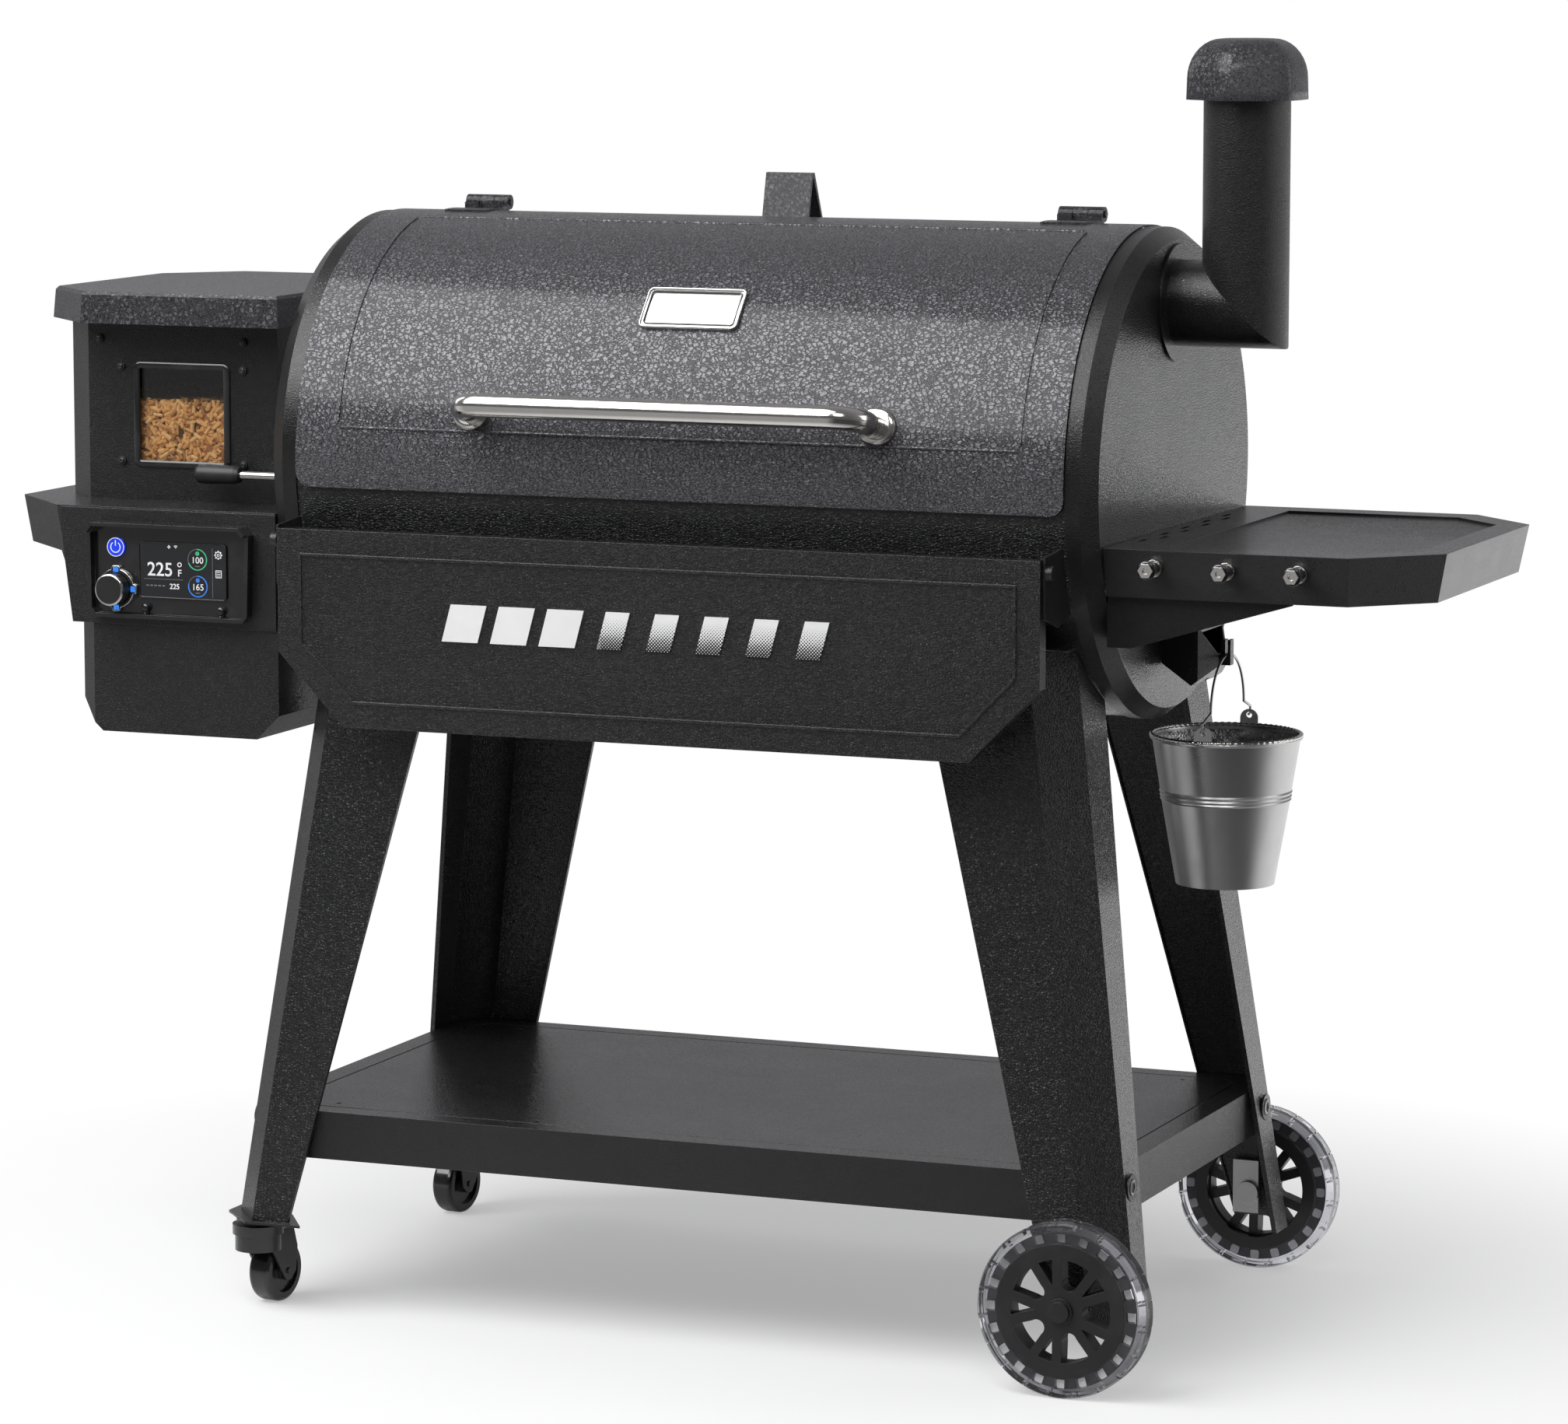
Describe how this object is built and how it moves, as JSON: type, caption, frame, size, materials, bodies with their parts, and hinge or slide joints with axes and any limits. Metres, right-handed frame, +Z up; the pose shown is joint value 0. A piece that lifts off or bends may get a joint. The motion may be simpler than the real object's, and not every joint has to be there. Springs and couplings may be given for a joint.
{
  "type": "pellet smoker grill",
  "caption": "Horizontal barrel pellet smoker on a wheeled cart with hopper, control panel, hinged lid, fold-up front shelf, side shelf, chimney and grease bucket.",
  "frame": {"origin": "on the floor under the middle of the bounding box, in the front-to-back mirror plane of the barrel", "axes": "+X along the barrel towards the side shelf and chimney, -Y towards the cook, +Z up"},
  "size_m": [1.817, 0.764, 1.529],
  "materials": {
    "black_coat": "satin powder coat with a fine leather grain",
    "hammertone": "dark graphite hammertone paint",
    "polished_steel": "polished stainless",
    "brushed_steel": "brushed stainless",
    "galvanised": "galvanised sheet",
    "enamel_grate": "porcelain coated cast iron",
    "fire_steel": "heat-darkened steel",
    "black_plastic": "moulded black plastic",
    "gloss_black": "gloss black plastic",
    "screen_glass": "lit colour display",
    "blue_light": "backlit blue plastic",
    "pane_glass": "clear tempered pane",
    "wood_pellets": "compressed hardwood pellets",
    "clear_tyre": "clear grey urethane tread"
  },
  "bodies": {
    "frame": {"barrel_shell": "black_coat", "end_cap_left": "black_coat", "end_cap_right": "black_coat", "barrel_hinges": "hammertone", "lid_stop": "hammertone", "saddles": "black_coat", "cooking_grates": "enamel_grate", "upper_rack": "brushed_steel", "flame_broiler": "fire_steel", "fire_pot": "fire_steel", "auger_tube": "galvanised", "auger_motor": "gloss_black", "fan_housing": "black_plastic", "temp_probe": "brushed_steel", "hopper_deck": "black_coat", "hopper_casing": "black_coat", "hopper_body": "black_coat", "hopper_bin": "galvanised", "pellets": "wood_pellets", "window_pane": "pane_glass", "window_screws": "black_plastic", "hopper_hinges": "black_coat", "control_bezel": "gloss_black", "control_display": "screen_glass", "panel_trim": "black_plastic", "shelf_brackets": "black_coat", "side_shelf": "black_coat", "side_shelf_brackets": "black_coat", "tool_hooks": "polished_steel", "grease_spout": "black_coat", "chimney_pipe": "black_coat", "legs": "black_coat", "lower_shelf": "black_coat", "caster_plates": "black_coat", "wheel_axles": "galvanised"},
    "lid": {"lid_shell": "hammertone", "lid_badge": "brushed_steel", "lid_handle": "polished_steel", "lid_hinge_leaves": "hammertone"},
    "hopper_lid": {"hopper_lid": "hammertone"},
    "front_shelf": {"front_shelf": "black_coat", "shelf_stripes": "brushed_steel"},
    "lever": {"lever_rod": "polished_steel", "lever_grip": "black_plastic", "broiler_slide": "fire_steel"},
    "auger": {"auger_screw": "brushed_steel"},
    "fan": {"fan_impeller": "black_plastic"},
    "knob": {"control_knob": "black_plastic"},
    "power_button": {"power_button": "blue_light"},
    "chimney_cap": {"chimney_cap": "hammertone"},
    "caster_fork_front": {"caster_fork_front": "gloss_black"},
    "caster_fork_rear": {"caster_fork_rear": "gloss_black"},
    "caster_wheel_front": {"caster_wheel_front": "gloss_black"},
    "caster_wheel_rear": {"caster_wheel_rear": "gloss_black"},
    "wheel_front": {"wheel_hub_front": "black_plastic", "tyre_front": "clear_tyre"},
    "wheel_rear": {"wheel_hub_rear": "black_plastic", "tyre_rear": "clear_tyre"},
    "bail": {"bucket_bail": "brushed_steel"},
    "bucket": {"bucket": "galvanised"}
  },
  "joints": [
    {"name": "lid_hinge", "type": "hinge", "parent": "frame", "child": "lid", "pos_m": [0.0095, 0.05, 1.32], "axis": [-1, 0, 0], "range_deg": [0, 95]},
    {"name": "hopper_lid_hinge", "type": "hinge", "parent": "frame", "child": "hopper_lid", "pos_m": [-0.6905, 0.226, 1.184], "axis": [-1, 0, 0], "range_deg": [0, 80]},
    {"name": "front_shelf_fold", "type": "hinge", "parent": "frame", "child": "front_shelf", "pos_m": [0.0095, -0.338, 0.938], "axis": [-1, 0, 0], "range_deg": [0, 90]},
    {"name": "broiler_lever_slide", "type": "slide", "parent": "frame", "child": "lever", "axis": [-1, 0, 0], "range_m": [0, 0.1]},
    {"name": "auger_spin", "type": "hinge", "parent": "frame", "child": "auger", "pos_m": [-0.4905, 0.04, 0.812], "axis": [1, 0, 0], "continuous": true},
    {"name": "fan_spin", "type": "hinge", "parent": "frame", "child": "fan", "pos_m": [-0.6305, 0.15, 0.76], "axis": [0, 0, 1], "continuous": true},
    {"name": "knob_turn", "type": "hinge", "parent": "frame", "child": "knob", "pos_m": [-0.7255, -0.28, 0.862], "axis": [0, -1, 0], "continuous": true},
    {"name": "power_press", "type": "slide", "parent": "frame", "child": "power_button", "axis": [0, 1, 0], "range_m": [0, 0.0015]},
    {"name": "chimney_cap_lift", "type": "slide", "parent": "frame", "child": "chimney_cap", "axis": [0, 0, 1], "range_m": [0, 0.03]},
    {"name": "caster_swivel_front", "type": "hinge", "parent": "frame", "child": "caster_fork_front", "pos_m": [-0.5285, -0.303, 0.095], "axis": [0, 0, 1], "continuous": true},
    {"name": "caster_swivel_rear", "type": "hinge", "parent": "frame", "child": "caster_fork_rear", "pos_m": [-0.5285, 0.303, 0.095], "axis": [0, 0, 1], "continuous": true},
    {"name": "caster_roll_front", "type": "hinge", "parent": "caster_fork_front", "child": "caster_wheel_front", "pos_m": [-0.52363, -0.26834, 0.038], "axis": [0.9903, -0.1392, 0], "continuous": true},
    {"name": "caster_roll_rear", "type": "hinge", "parent": "caster_fork_rear", "child": "caster_wheel_rear", "pos_m": [-0.53337, 0.26834, 0.038], "axis": [0.9903, -0.1392, 0], "continuous": true},
    {"name": "wheel_roll_front", "type": "hinge", "parent": "frame", "child": "wheel_front", "pos_m": [0.5255, -0.359, 0.1015], "axis": [0, 1, 0], "continuous": true},
    {"name": "wheel_roll_rear", "type": "hinge", "parent": "frame", "child": "wheel_rear", "pos_m": [0.5255, 0.359, 0.1015], "axis": [0, 1, 0], "continuous": true},
    {"name": "bail_swing", "type": "hinge", "parent": "frame", "child": "bail", "pos_m": [0.5955, 0, 0.812], "axis": [0, -1, 0], "range_deg": [-4, 20]},
    {"name": "bucket_swing", "type": "hinge", "parent": "bail", "child": "bucket", "pos_m": [0.5945, 0, 0.7312], "axis": [0, -1, 0], "range_deg": [-4, 4]}
  ]
}
